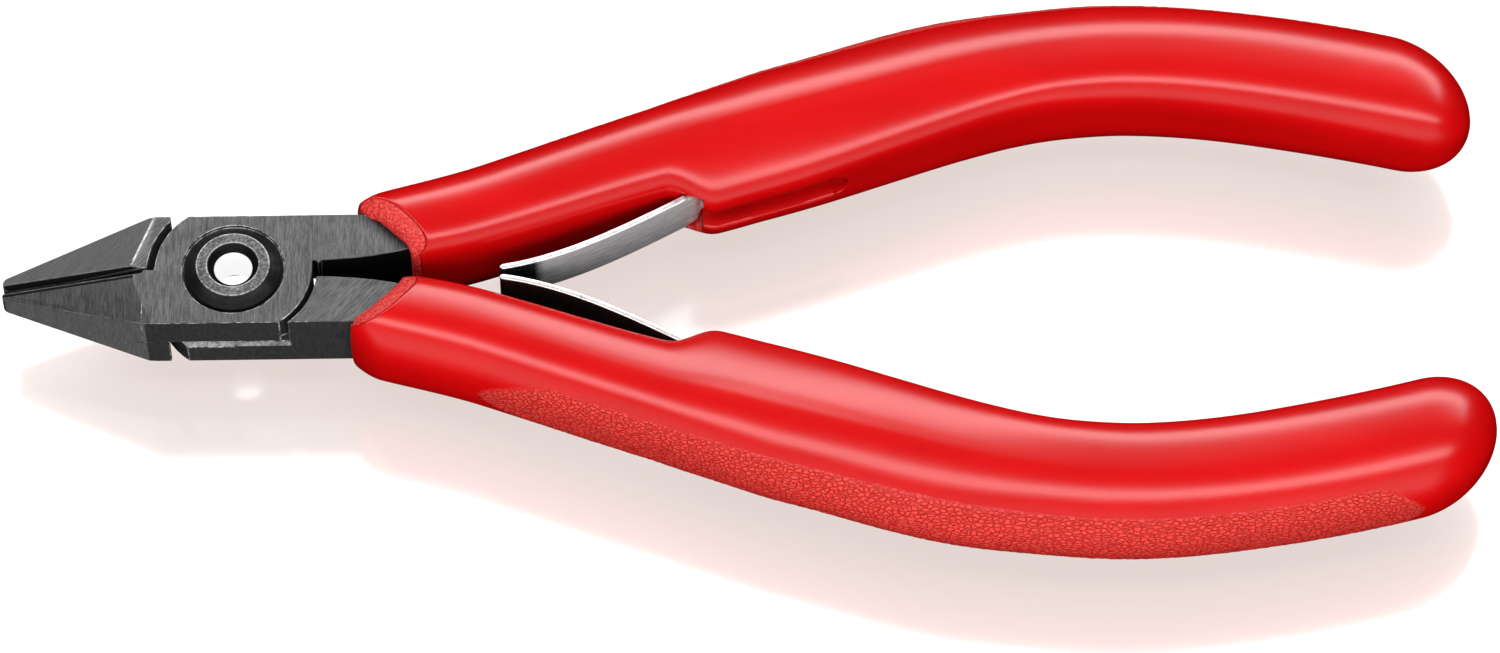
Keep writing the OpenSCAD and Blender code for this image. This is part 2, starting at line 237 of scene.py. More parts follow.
def slot_bulge(section):
    """How far each column runs on to make the slot's round end."""
    t = np.abs(section[:, 1]) / SLOT_HALF
    inside = (t < 1) & (section[:, 0] < 0)
    return np.where(inside, SLOT_HALF * np.sqrt(np.clip(1 - t * t, 0, 1)), 0)


class SleeveSkin:
    """The outer skin of a sleeve as a table, read at any x for each column of its section."""

    def __init__(self):
        cap = CAP_X + (REACH - CAP_X) * np.sin(np.linspace(0, math.pi / 2, 40))
        self.xs = np.concatenate([np.arange(8, CAP_X, 0.15), cap])
        self.table = np.array([whole_section(x) for x in self.xs])
        self.columns = self.table.shape[1]

    def at(self, x):
        """Points (x, y, z) of the skin for one x per column."""
        y = np.array([np.interp(x[j], self.xs, self.table[:, j, 0]) for j in range(self.columns)])
        z = np.array([np.interp(x[j], self.xs, self.table[:, j, 1]) for j in range(self.columns)])
        s = cap_scale(x)
        return np.stack([x, curve(CENTRE, x) + s * y, s * z], 1)

    def front(self, total):
        """Points where the skin meets the oblique cut at the front."""
        x = np.full(self.columns, 12.0)
        for _ in range(40):
            p = self.at(x)
            rise = np.maximum(np.abs(p[:, 2]) - 3, 0) * FRONT_RISE
            x = 0.5 * x + 0.5 * np.maximum(total + rise - p[:, 1], 8)
        return self.at(x)


def bore_ring(skin, x, total=None):
    """Points of the hole for the tang, one per column. With total, they lie on the oblique cut."""
    ref = skin.table[np.searchsorted(skin.xs, 50)]
    y, z = ref[:, 0], ref[:, 1]
    side = np.where(y < 0, -1, 1)
    reach = np.where(y < 0, -y.min(), y.max())
    steep = np.abs(z) / HALF_THICK > np.abs(y) / reach * 0.9
    height = np.where(steep, np.sign(z) * TANG_HALF_Z, np.clip(z, -TANG_HALF_Z, TANG_HALF_Z))
    across = np.where(steep, np.clip(y / reach / 0.93, -1, 1), side)
    x = np.broadcast_to(np.asarray(x, float), y.shape).copy()
    for _ in range(30 if total else 1):
        a, b = tang_inner(x) - TANG_GAP, tang_outer(x) + TANG_GAP
        wide = (a + b) / 2 + across * (b - a) / 2
        if total:
            x = 0.5 * x + 0.5 * (total - wide)
    return np.stack([x, wide, height], 1)


def rows_along(front):
    """Each skin row's station, one number or one per column, with its slot depth.

    Rows are doubled at the slot's ends. Also gives the station where the slot's round end begins.
    """
    steps = np.concatenate([[0.012, 0.02, 0.03], np.linspace(0.045, 1, 58)])
    ahead = [(front[:, 0] + (26 - front[:, 0]) * t, 0.0) for t in steps]
    end = SLOT_END - SLOT_HALF
    rows = ahead + [(v, 0.0) for v in np.arange(26.2, SLOT_START - RIM - 0.05, 0.24)]
    rows += [(SLOT_START - d, depth) for d, depth in reversed(SLOT_LIP)]
    rows += [(v, 9.0) for v in np.append(np.arange(SLOT_START, end, 0.2), end)]
    rows += [(end + d, depth) for d, depth in SLOT_LIP]
    rows += [(v, 0.0) for v in np.arange(end + RIM + 0.2, CAP_X, 0.23)]
    cap = CAP_X + (REACH - CAP_X) * np.sin(np.radians(np.arange(1, 30) * 3.0))
    rows += [(v, 0.0) for v in cap]
    return rows, end


def slot_depth(x, y_wall):
    """How far the slot's floor lies behind the wall at x."""
    to_pocket = np.maximum(tang_inner(x) - TANG_GAP - y_wall, 0.3)
    return np.where(x < SLOT_OPEN_END, to_pocket, SLOT_DEPTH)


def strip_relief(p):
    """Shallow seat in the hump for the root of the leaf spring."""
    x, y, z = p.T
    line = cubic(TIP, ROOT, (x - TIP[0]) / (ROOT[0] - TIP[0])) + 0.5
    inside = smooth((2.5 - np.abs(z)) / 0.25) * smooth((39.5 - x) / 0.15) * smooth((x - 34) / 1)
    return np.where(y < curve(CENTRE, x) - 2, np.maximum(line - y, 0) * inside, 0)


def grain_zone(p):
    """1 inside the grained strip on the outer flank, 0 outside, soft at its border."""
    x, y, z = p.T
    half = 3.15 * np.sqrt(np.clip(np.minimum((x - 20.5) / 6, (98.5 - x) / 3.5), 0, 1))
    edge = smooth((half - np.abs(z)) / 0.3)
    return edge * (y > curve(CENTRE, x))


def grain_height(p, seed):
    """Leather-like relief: pillows between creases that run roughly along the grip."""
    out = np.zeros(len(p))
    for i, (x, y, z) in enumerate(p):
        q = Vector((x * 1.1 + seed, y * 1.8, z * 1.8))
        bend = noise.noise(q * 0.7) * 0.6
        d = noise.voronoi(Vector((q.x + bend, q.y - bend, q.z)) * 1.35)[0]
        out[i] = min(d[1] - d[0], 0.35) / 0.35 + 0.5 * noise.noise(q * 3.1)
    return out


def even_rows(rows):
    """The same rows with their spacing evened out between neighbours."""
    out = rows.copy()
    for _ in range(40):
        out[1:-1] = 0.25 * out[:-2] + 0.5 * out[1:-1] + 0.25 * out[2:]
    return out


def skin_centre(p):
    """The centre line's point beside each point."""
    return np.stack([p[:, 0], curve(CENTRE, p[:, 0]), np.zeros(len(p))], 1)


def column_distance(depth_j):
    """How many columns each column is from the slot."""
    m = len(depth_j)
    slot = np.nonzero(depth_j > 0)[0]
    apart = np.abs(np.arange(m)[:, None] - slot[None])
    return np.minimum(apart, m - apart).min(axis=1)


def bend(a, b, c, t):
    """Point at t of the curve from a to c that leaves and arrives towards b."""
    return (1 - t) ** 2 * a + 2 * t * (1 - t) * b + t * t * c


def lead_rows(front, inside, first):
    """Rows before the skin, each with its cut_face value: cut face, crease, rounded rim."""
    gap = np.linalg.norm(front - inside, axis=1)[:, None]
    stop = 1 - np.minimum(CREASE / np.maximum(gap, 0.01), 0.5)
    brink = inside + (front - inside) * stop
    swell = inside * [0.6, 0.6, 0.2] + brink * [0.4, 0.4, 0.8] - [FRONT_SWELL, FRONT_SWELL, 0]
    rows = [(bend(inside, swell, brink, t), 1.0) for t in np.linspace(0, 1, 12)]
    sink = skin_centre(front) - front
    sink /= np.linalg.norm(sink, axis=1)[:, None]
    groove = brink + (front - brink) * 0.45 + sink * CREASE_GROOVE
    rows.append((groove, 0.5))
    return rows + [(bend(groove, front, first, t), 0.0) for t in (0.3, 0.55, 0.8)]


def skin_rows(skin, rows, end):
    """Rows of the skin with its slot, and which of them cross the slot's opening to the bore."""
    bulge = slot_bulge(skin.table[np.searchsorted(skin.xs, end)])
    depth_j = column_depths()
    # rows crowd at the slot's ends, and spread evenly away from it
    tight = np.array([np.broadcast_to(np.asarray(v, float), (skin.columns,)) for v, _ in rows])
    even = even_rows(tight)
    near = smooth(1 - (column_distance(depth_j) - 2) / 12)
    tight = even + (tight - even) * near
    grid, hole = [], []
    for x, (_, depth_i) in zip(tight, rows):
        fade = smooth((x - end + 3.5) / 3.5) * np.where(x <= end, 1, 1 - smooth((x - end) / 4.5))
        x = x + bulge * fade * (x > SLOT_START + 1)
        p = skin.at(x)
        near_slot = (depth_j > 0) & (depth_i > 0)
        depth = np.minimum(np.minimum(depth_i, depth_j), slot_depth(x, p[:, 1]))
        p[:, 1] += np.where(near_slot, depth, 0)
        p[:, 1] += np.where(near_slot & (depth > 0.3), 0, strip_relief(p))
        grid.append(p)
        hole.append(depth_i > 8 and float(np.min(x)) < SLOT_OPEN_END)
    return grid, hole


def raise_grain(points, zone, seed):
    """The points with the grain's relief, where zone is above 0."""
    some = np.nonzero(zone > 0.001)[0]
    lift = np.zeros(len(points))
    lift[some] = grain_height(points[some], seed) * zone[some]
    out = points - skin_centre(points)
    out /= np.maximum(np.linalg.norm(out, axis=1), 1e-6)[:, None]
    return points + out * ((lift - 0.7 * zone) * GRAIN_DEPTH)[:, None]


def bore_rings(skin, grid, hole_rows):
    """Rings of the tang's bore behind the first row, one at each row that crosses the opening."""
    before = list(np.arange(19, 38, 1.6))
    stations = before + [float(np.min(grid[i][:, 0])) for i in hole_rows]
    stations += list(np.arange(44, TANG_END, 2.2)) + [TANG_END]
    rings = np.array([bore_ring(skin, x) for x in stations])
    for step, i in enumerate(hole_rows):
        rings[len(before) + step] = bore_ring(skin, grid[i][0, 0])
    return rings, len(before)


def opening_walls(hole_rows, cols, m, ring_of, first_ring):
    """Faces between the slot's floor and the bore, round the opening."""
    faces = []
    left, right = cols[0], (cols[-1] + 1) % m
    last = len(hole_rows) - 1
    for step in range(last):
        i0, i1 = hole_rows[step] * m, hole_rows[step + 1] * m
        r0, r1 = first_ring + step, first_ring + step + 1
        faces.append((i0 + left, i1 + left, ring_of(r1, left), ring_of(r0, left)))
        faces.append((i1 + right, i0 + right, ring_of(r0, right), ring_of(r1, right)))
    for i, r, flip in ((hole_rows[0], first_ring, False), (hole_rows[-1], first_ring + last, True)):
        for j in cols:
            k = (j + 1) % m
            quad = (i * m + k, i * m + j, ring_of(r, j), ring_of(r, k))
            faces.append(quad[::-1] if flip else quad)
    return faces


def build_sleeve(name, side, total, seed):
    """One grip sleeve as a closed mesh: bore, cut face, crease, grained skin, slot, round end."""
    skin = SleeveSkin()
    m = skin.columns
    front = skin.front(total)
    rows, end = rows_along(front)
    lead = lead_rows(front, bore_ring(skin, 12.0, total), skin.at(rows[0][0]))
    skin_grid, hole = skin_rows(skin, rows, end)
    grid = np.array([p for p, _ in lead] + skin_grid)
    n = len(grid)
    hole = [False] * len(lead) + hole
    cut = np.repeat([kind for _, kind in lead] + [0.0] * len(skin_grid), m)
    points = grid.reshape(-1, 3)
    zone = grain_zone(points)
    zone[:len(lead) * m] = 0
    points = raise_grain(points, zone, seed)
    # quads of the skin, leaving out the floor of the slot where it opens into the tang's pocket
    depth_j = column_depths()
    pairs = [(j, (j + 1) % m) for j in range(m)]
    open_cols = {j for j, k in pairs if depth_j[j] > 8 and depth_j[k] > 8}
    faces = [(i * m + j, i * m + k, (i + 1) * m + k, (i + 1) * m + j)
             for i in range(n - 1) for j, k in pairs
             if not (hole[i] and hole[i + 1] and j in open_cols)]
    tip = len(points)
    faces += [((n - 1) * m + j, (n - 1) * m + k, tip) for j, k in pairs]
    # bore: its front ring is the first row, and the open slot joins it
    hole_rows = [i for i in range(n) if hole[i]]
    rings, first_ring = bore_rings(skin, grid, hole_rows)

    def ring_of(r, j):
        """Index of the point in column j of bore ring r. Ring -1 is the first row of the skin."""
        return (tip + 1 + r * m + j) if r >= 0 else j

    for r in range(-1, len(rings) - 1):
        both = first_ring <= r < first_ring + len(hole_rows) - 1
        faces += [(ring_of(r, j), ring_of(r + 1, j), ring_of(r + 1, k), ring_of(r, k))
                  for j, k in pairs if not (both and j in open_cols)]
    faces.append(tuple(ring_of(len(rings) - 1, j) for j in range(m)))
    cols = sorted(open_cols, key=lambda j: (j + m // 2) % m)
    faces += opening_walls(hole_rows, cols, m, ring_of, first_ring)
    end_point = [[REACH, float(curve(CENTRE, REACH)), 0]]
    points = np.concatenate([points, end_point, rings.reshape(-1, 3)]) * [1, side, 1]
    if side > 0:
        faces = [f[::-1] for f in faces]
    obj = mesh_object(name, points, faces)
    obj.data.set_sharp_from_angle(angle=math.radians(50))
    rest = np.zeros(len(points) - len(cut))
    add_attribute(obj, "cut_face", np.concatenate([cut, rest]))
    add_attribute(obj, "grain", np.concatenate([zone, rest]))
    return obj


def mesh_object(name, points, faces, smooth_faces=True):
    """A mesh object from points in millimetres."""
    mesh = bpy.data.meshes.new(name)
    mesh.from_pydata((np.asarray(points) * MM).tolist(), [], [list(map(int, f)) for f in faces])
    mesh.validate()
    mesh.update()
    if smooth_faces:
        mesh.polygons.foreach_set("use_smooth", [True] * len(mesh.polygons))
    obj = bpy.data.objects.new(name, mesh)
    bpy.context.scene.collection.objects.link(obj)
    return obj


def add_attribute(obj, name, values):
    layer = obj.data.attributes.new(name, "FLOAT", "POINT")
    layer.data.foreach_set("value", np.asarray(values, np.float32))


# ---------------------------------------------------------------- leaf spring mesh

def spring_path():
    """Middle line of the strip in plan: the blade, the straight tail and the rolled eye.

    Also gives how many of its points belong to the blade.
    """
    xs = np.concatenate([np.linspace(TIP[0], TIP[0] + 0.5, 9)[:-1],
                         np.linspace(TIP[0] + 0.5, ROOT[0], 90)])
    blade = np.stack([xs, cubic(TIP, ROOT, (xs - TIP[0]) / (ROOT[0] - TIP[0]))], 1)
    root, pin = blade[-1], np.array(PIN)
    line = pin - root
    far = np.hypot(*line)
    lean = math.atan2(line[1], line[0]) - math.asin(EYE_RADIUS / far)
    touch = lean + math.pi / 2
    start = pin + EYE_RADIUS * np.array([math.cos(touch), math.sin(touch)])
    tail = root + (start - root) * np.linspace(0, 1, 60)[1:, None]
    turn = touch - np.linspace(0, math.radians(EYE_TURN), 40)[1:]
    eye = pin + EYE_RADIUS * np.stack([np.cos(turn), np.sin(turn)], 1)
    return np.concatenate([blade, tail, eye]), len(blade)


def build_spring(name, side):
    """A leaf spring as one rounded strip swept along its middle line."""
    path, blade_end = spring_path()
    tangent = np.gradient(path, axis=0)
    tangent /= np.linalg.norm(tangent, axis=1)[:, None]
    normal = np.stack([-tangent[:, 1], tangent[:, 0]], 1)
    n = len(path)
    along = np.concatenate([[0], np.cumsum(np.hypot(*np.diff(path, axis=0).T))])
    root = along[blade_end - 1]
    # the strip narrows to its tail at the root, with a slightly scalloped edge
    half_z = STRIP_HALF_Z + (TAIL_HALF_Z - STRIP_HALF_Z) * smooth((along - root - 0.25) / 0.45)
    half_z -= 0.2 * smooth((along - root + 0.75) / 0.4)
    half_z += 0.07 * np.sin(along * 9) * smooth((along - root + 1.4) / 0.8) * (along < root + 0.6)
    tip = np.sqrt(np.clip(1 - (1 - np.minimum(along / 0.35, 1)) ** 2, 0.02, 1))
    thick = STRIP_THICK / 2 * tip
    ring = []
    for turn, sy, sz in ((0, 1, 1), (90, -1, 1), (180, -1, -1), (270, 1, -1)):
        for a in range(0, 91, 30):
            r = math.radians(turn + a)
            ring.append((sy, sz, math.cos(r), math.sin(r)))
    points = []
    for i in range(n):
        c = min(STRIP_CORNER, thick[i] * 0.8)
        for sy, sz, cy, cz in ring:
            off = sy * (thick[i] - c) + c * cy
            height = sz * (half_z[i] - c) + c * cz
            points.append([path[i, 0] + normal[i, 0] * off, path[i, 1] + normal[i, 1] * off, height])
    m = len(ring)
    faces = [(i * m + j, i * m + (j + 1) % m, (i + 1) * m + (j + 1) % m, (i + 1) * m + j)
             for i in range(n - 1) for j in range(m)]
    faces += [tuple(range(m))[::-1], tuple((n - 1) * m + j for j in range(m))]
    points = np.array(points) * [1, side, 1]
    if side > 0:
        faces = [f[::-1] for f in faces]
    return mesh_object(name, points, faces)


# ---------------------------------------------------------------- materials

class Nodes:
    """Small helper that adds shader nodes and links them."""

    def __init__(self, name):
        self.material = bpy.data.materials.new(name)
        self.material.use_nodes = True
        self.tree = self.material.node_tree
        self.shader = self.tree.nodes["Principled BSDF"]

    def add(self, kind, **settings):
        node = self.tree.nodes.new(kind)
        for key, value in settings.items():
            setattr(node, key, value)
        return node

    def link(self, a, b):
        self.tree.links.new(a, b)

    def math(self, operation, a, b=None):
        node = self.add("ShaderNodeMath", operation=operation)
        for socket, value in zip(node.inputs, (a, b)):
            if value is None:
                continue
            if isinstance(value, (int, float)):
                socket.default_value = value
            else:
                self.link(value, socket)
        return node.outputs[0]

    def position(self, scale=(1, 1, 1), rotate=0.0):
        """Object coordinates in millimetres, scaled along each axis after a turn about Z."""
        coord = self.add("ShaderNodeTexCoord")
        turn = self.add("ShaderNodeMapping")
        turn.inputs["Rotation"].default_value = (0, 0, math.radians(rotate))
        turn.inputs["Scale"].default_value = (1000, 1000, 1000)
        stretch = self.add("ShaderNodeMapping")
        stretch.inputs["Scale"].default_value = scale
        self.link(coord.outputs["Object"], turn.inputs["Vector"])
        self.link(turn.outputs[0], stretch.inputs["Vector"])
        return stretch.outputs[0]

    def parts(self, output, scale=1.0):
        """The three numbers of one output of the texture coordinates, each times scale."""
        coord = self.add("ShaderNodeTexCoord")
        split = self.add("ShaderNodeSeparateXYZ")
        self.link(coord.outputs[output], split.inputs[0])
        if scale == 1.0:
            return split.outputs
        return [self.math("MULTIPLY", value, scale) for value in split.outputs]

    def length(self, a, b):
        squares = [self.math("POWER", value, 2.0) for value in (a, b)]
        return self.math("SQRT", self.math("ADD", *squares))

    def within(self, value, low, high, edge=0.04):
        """1 where value lies between low and high, 0 outside."""
        return self.math("MULTIPLY", self.span(value, low - edge, low, 0, 1),
                         self.span(value, high, high + edge, 1, 0))

    def every(self, masks):
        """Product of the masks."""
        out = masks[0]
        for mask in masks[1:]:
            out = self.math("MULTIPLY", out, mask)
        return out

    def blend(self, factor, a, b):
        """a where factor is 0, b where it is 1."""
        return self.math("ADD", self.math("MULTIPLY", self.math("SUBTRACT", 1.0, factor), a),
                         self.math("MULTIPLY", factor, b))

    def noise(self, vector, scale=1.0, detail=4.0, roughness=0.55):
        node = self.add("ShaderNodeTexNoise")
        node.inputs["Scale"].default_value = scale
        node.inputs["Detail"].default_value = detail
        node.inputs["Roughness"].default_value = roughness
        self.link(vector, node.inputs["Vector"])
        return node.outputs["Fac"]

    def cell_edges(self, vector, scale=1.0):
        """Distance to the edges of irregular cells."""
        node = self.add("ShaderNodeTexVoronoi", feature="DISTANCE_TO_EDGE")
        node.inputs["Scale"].default_value = scale
        self.link(vector, node.inputs["Vector"])
        return node.outputs["Distance"]

    def span(self, value, a, b, low, high):
        """Map value from a..b to low..high, clamped."""
        node = self.add("ShaderNodeMapRange")
        for key, number in (("From Min", a), ("From Max", b), ("To Min", low), ("To Max", high)):
            node.inputs[key].default_value = number
        self.link(value, node.inputs["Value"])
        return node.outputs[0]

    def mix(self, factor, a, b):
        node = self.add("ShaderNodeMix", data_type="RGBA")
        for socket, value in ((node.inputs[0], factor), (node.inputs[6], a), (node.inputs[7], b)):
            if isinstance(value, (int, float)):
                socket.default_value = value
            elif isinstance(value, tuple):
                socket.default_value = (*value, 1)
            else:
                self.link(value, socket)
        return node.outputs[2]

    def bump(self, height, distance, strength=1.0):
        node = self.add("ShaderNodeBump")
        node.inputs["Strength"].default_value = strength
        node.inputs["Distance"].default_value = distance * MM
        self.link(height, node.inputs["Height"])
        self.link(node.outputs[0], self.shader.inputs["Normal"])

    def set(self, **values):
        for key, value in values.items():
            socket = self.shader.inputs[key.replace("_", " ")]
            if isinstance(value, (int, float)):
                socket.default_value = value
            elif isinstance(value, tuple):
                socket.default_value = (*value, 1)
            else:
                self.link(value, socket)


def ground_steel(name, dark, light, turn=0.0):
    """Burnished tool steel with fine grinding lines that run across the head."""
    n = Nodes(name)
    lines = n.noise(n.position((12, 0.9, 1.5), turn), 1.0, 3, 0.65)
    scores = n.noise(n.position((5, 0.2, 0.5), turn), 1.0, 2, 0.5)
    grit = n.noise(n.position((8, 8, 8)), 1.0, 3, 0.65)
    blotch = n.noise(n.position((0.35, 0.35, 0.35)), 1.0, 4)
    both = n.math("ADD", n.math("MULTIPLY", lines, 0.6), n.math("MULTIPLY", scores, 0.15))
    both = n.math("ADD", both, n.math("MULTIPLY", grit, 0.25))
    colour = n.mix(n.span(both, 0.4, 0.6, 0, 1), dark, light)
    colour = n.mix(n.span(blotch, 0.4, 0.75, 0, 0.25), colour, dark)
    metal = 0.85
    for masks, low, high, plain in steel_zones(n):
        zone = n.every(masks)
        tone = n.mix(n.span(both, 0.42, 0.58, 0, 1), low, high)
        colour = n.mix(zone, colour, tone)
        metal = n.blend(zone, metal, plain)
    n.set(Base_Color=colour, Metallic=metal, Roughness=n.span(lines, 0.35, 0.65, 0.32, 0.5))
    n.bump(both, 0.012, 0.7)
    return n.material


def grey(low, high):
    """Two neutral tones."""
    return (low, low, low), (high, high, high)


def steel_zones(n):
    """Places where the levers look different, by finish or by painted shade, shadow and highlight:
    masks, two grey tones and how metallic they are.
    """
    x, y, z = n.parts("Object", 1000.0)
    _, ny, nz = n.parts("Normal")
    off, lean, deep = (n.math("ABSOLUTE", value) for value in (y, ny, z))
    radius = n.length(x, y)
    along = n.math("MULTIPLY", n.math("ADD", x, -CREASE_POINT[0]), CREASE_NORMAL[0])
    across = n.math("MULTIPLY", n.math("SUBTRACT", off, CREASE_POINT[1]), CREASE_NORMAL[1])
    ahead = n.math("ADD", along, across)
    crease = n.math("ABSOLUTE", ahead)
    chips = n.noise(n.position((1.6, 1.6, 1.6)), 1.0, 5, 0.7)
    coarse = n.span(chips, 0.38, 0.55, 0.25, 1)
    facet = (n.span(ahead, -0.05, 0.02, 1, 0), n.within(x, *JAW_X), n.within(nz, 0.8, 1))
    side_face = n.within(off, *SIDE_FACE_Y)
    # painted shade: the facets of the near jaw, turned away from the light, and of the far jaw get
    # darker greys than the plate
    yield (*facet, n.within(y, -6, -0.15)), *grey(0.05, 0.1), 0.85
    yield (*facet, n.within(y, 0.15, 6)), *grey(0.035, 0.075), 0.85
    # outer side faces
    yield (side_face, n.within(lean, 0.9, 1.1)), *grey(0.07, 0.12), 0.7
    # tapered side of the near jaw
    tapered = (n.within(x, JAW_X[0], TAPER_X), n.within(ny, -1.1, -0.88), n.within(y, -6, -0.5))
    yield tapered, *grey(0.075, 0.145), 0.2
    # painted shade: the strip of the near jaw beside its groove is painted near black
    strip = (n.within(x, JAW_X[0], -8.4), n.within(y, -0.72, 0), n.within(nz, 0.25, 1))
    yield strip, *grey(0.005, 0.007), 0.85
    # painted shade: the groove above the cutting edges is painted near black
    groove = (n.within(x, JAW_X[0], GROOVE_END_X), n.within(nz, 0.25, 0.88),
              n.within(off, 0, GROOVE_HALF_Y))
    yield groove, *grey(0.005, 0.007), 0.85
    # painted shade: the faces of the slot between the handles are painted near black
    slot = (n.within(x, SLOT_CORNER_X, 20), n.within(off, 0, 3.4), n.within(lean, 0.5, 1.1))
    yield slot, *grey(0.005, 0.008), 0.6
    # painted shade: the recess round the rivet is painted near black
    yield (n.within(radius, *RECESS_RADIUS), n.within(z, 2.4, 2.97)), *grey(0.004, 0.006), 0.6
    # painted shadow of the far sleeve's lip on the steel beside it
    lip_shadow = n.span(n.math("ADD", x, y), FRONT_FAR - 1.8, FRONT_FAR - 0.2, 0, 0.8)
    yield (lip_shadow, n.within(y, 1, 6)), *grey(0.01, 0.025), 0.85
    # painted highlight: a patchy bright line along the crease of the far jaw
    line = (n.within(x, -9, -6.5), n.within(y, 0.6, 5.4), n.within(z, 2.8, 3.1),
            n.within(crease, 0, 0.07), n.span(chips, 0.36, 0.52, 0, 1))
    yield line, *grey(0.35, 0.65), 0.4
    # coarse pale grinding on the chamfer beside the lap
    chamfer = (n.within(off, 4.4, 5.24),
               n.within(n.math("SUBTRACT", off, deep), CHAMFER_AT - 0.1, CHAMFER_AT + 0.1),
               n.within(n.math("ABSOLUTE", x), 0, LAP_REACH), coarse)
    yield chamfer, *grey(0.2, 0.5), 0.2
    # the same pale band along the rest of the lap, as colour on the flat side face
    band = (side_face, n.within(n.math("MULTIPLY", y, z), 0.25, 3.9), n.within(x, 0, 4.75), coarse)
    yield band, *grey(0.2, 0.5), 0.2


def worn_edge_and_highlight():
    """Bright metal on edges: partly polished by handling, partly painted highlight."""
    n = Nodes("worn_edge_and_highlight")
    x = n.parts("Object", 1000.0)[0]
    patchy = n.noise(n.position((1.5, 1.5, 1.5)), 1.0, 5, 0.7)
    # only the lap's edges are bright: the jaws' and the handles' stay dark
    bright = n.every([n.span(patchy, 0.45, 0.62, 0, 1), n.span(x, -8.2, -7.6, 0.12, 1),
                      n.span(x, 6, SLOT_CORNER_X, 1, 0.1)])
    colour = n.mix(bright, (0.08, 0.08, 0.082), (0.7, 0.7, 0.71))
    n.set(Base_Color=colour, Metallic=0.5, Roughness=n.span(patchy, 0.3, 0.7, 0.5, 0.35))
    return n.material


def rivet_steel():
    """Turned rivet: light ring on its face, dark bevels, and a bore painted white that glows like a
    lamp.
    """
    n = Nodes("rivet_finish")
    x, y, _ = n.parts("Object", 1000.0)
    radius = n.length(x, y)
    rings = n.noise(radius_vector(n, radius), 1.0, 4)
    grit = n.noise(n.position((5, 5, 5)), 1.0, 4, 0.65)
    rims = [n.within(radius, at - 0.04, at + 0.04, 0.03) for at in (RING_OUTER, RING_INNER)]
    rim = n.math("MAXIMUM", *rims)
    face = n.math("MULTIPLY", n.span(radius, RING_INNER - 0.08, RING_INNER, 0, 1),
                  n.span(radius, RING_OUTER, RING_OUTER + 0.06, 1, 0))
    bore = n.span(radius, BORE_RADIUS - 0.02, BORE_RADIUS + 0.02, 1, 0)
    colour = n.mix(n.span(rings, 0.3, 0.7, 0, 1), (0.016, 0.016, 0.017), (0.03, 0.03, 0.031))
    ring_colour = n.mix(n.span(grit, 0.4, 0.62, 0, 1), (0.06, 0.06, 0.062), (0.2, 0.2, 0.203))
    colour = n.mix(face, colour, ring_colour)
    # the rims of the ring are lighter in patches: partly wear, partly painted highlight
    rim_wear_and_highlight = n.math("MULTIPLY", rim, n.span(grit, 0.4, 0.55, 0.2, 1))
    colour = n.mix(rim_wear_and_highlight, colour, (0.45, 0.45, 0.45))
    # painted glow: the bore is painted white and glows for camera rays only, as if lit from below,
    # so it leaves no spot on the floor
    bore_glow = n.math("MULTIPLY", bore, n.add("ShaderNodeLightPath").outputs["Is Camera Ray"])
    colour = n.mix(bore_glow, colour, (0.95, 0.95, 0.95))
    n.set(Base_Color=colour, Metallic=0.85, Roughness=n.span(rings, 0.3, 0.7, 0.32, 0.42))
    n.set(Emission_Color=(1.0, 1.0, 1.0), Emission_Strength=n.math("MULTIPLY", bore_glow, 0.9))
    n.bump(n.math("ADD", rings, n.math("MULTIPLY", grit, face)), 0.03, 0.8)
    return n.material


def radius_vector(n, radius):
    """A vector that changes only with the radius, for turned rings."""
    node = n.add("ShaderNodeCombineXYZ")
    n.link(n.math("MULTIPLY", radius, 9.0), node.inputs[0])
    return node.outputs[0]


def red_plastic():
    """Glossy red grip plastic, leather-grained on the flank, rough on the cut end."""
    n = Nodes("red_grip_plastic")
    grain = n.add("ShaderNodeAttribute", attribute_name="grain").outputs["Fac"]
    cut = n.add("ShaderNodeAttribute", attribute_name="cut_face").outputs["Fac"]
    cells = n.cell_edges(n.position((1.8, 3.2, 3.2)))
    fine = n.noise(n.position((3.5, 5, 5)), 1.0, 5, 0.6)
    soft = n.noise(n.position((0.05, 0.2, 0.2)), 1.0, 2)
    leather = n.math("ADD", n.span(cells, 0, 0.22, 0, 1), n.math("MULTIPLY", fine, 0.8))
    colour = n.mix(n.span(soft, 0.35, 0.65, 0, 1), (0.50, 0.0016, 0.0022), (0.56, 0.002, 0.0026))
    hide = n.mix(n.span(leather, 0.4, 1.2, 0, 1), (0.44, 0.011, 0.008), (0.74, 0.038, 0.028))
    colour = n.mix(grain, colour, hide)
    torn = n.mix(n.span(fine, 0.45, 0.68, 0, 1), (0.6, 0.012, 0.01), (0.85, 0.1, 0.08))
    colour = n.mix(n.span(cut, 0.5, 1, 0, 0.9), colour, torn)
    # painted shade: a dark line along the crease between the cut face and the skin
    crease = n.span(n.math("ABSOLUTE", n.math("SUBTRACT", cut, 0.5)), 0.1, 0.42, 1, 0)
    colour = n.mix(n.math("MULTIPLY", crease, 0.9), colour, (0.1, 0.0005, 0.001))
    rough = n.math("ADD", n.span(fine, 0.2, 0.8, 0.23, 0.28),
                   n.math("MULTIPLY", n.math("MAXIMUM", grain, cut), 0.2))
    n.set(Base_Color=colour, Roughness=rough, IOR=1.5)
    n.set(Subsurface_Weight=0.04, Subsurface_Scale=0.001)
    height = n.math("MULTIPLY", leather, n.math("MAXIMUM", grain, n.math("MULTIPLY", cut, 0.8)))
    n.bump(height, 0.1, 0.95)
    return n.material


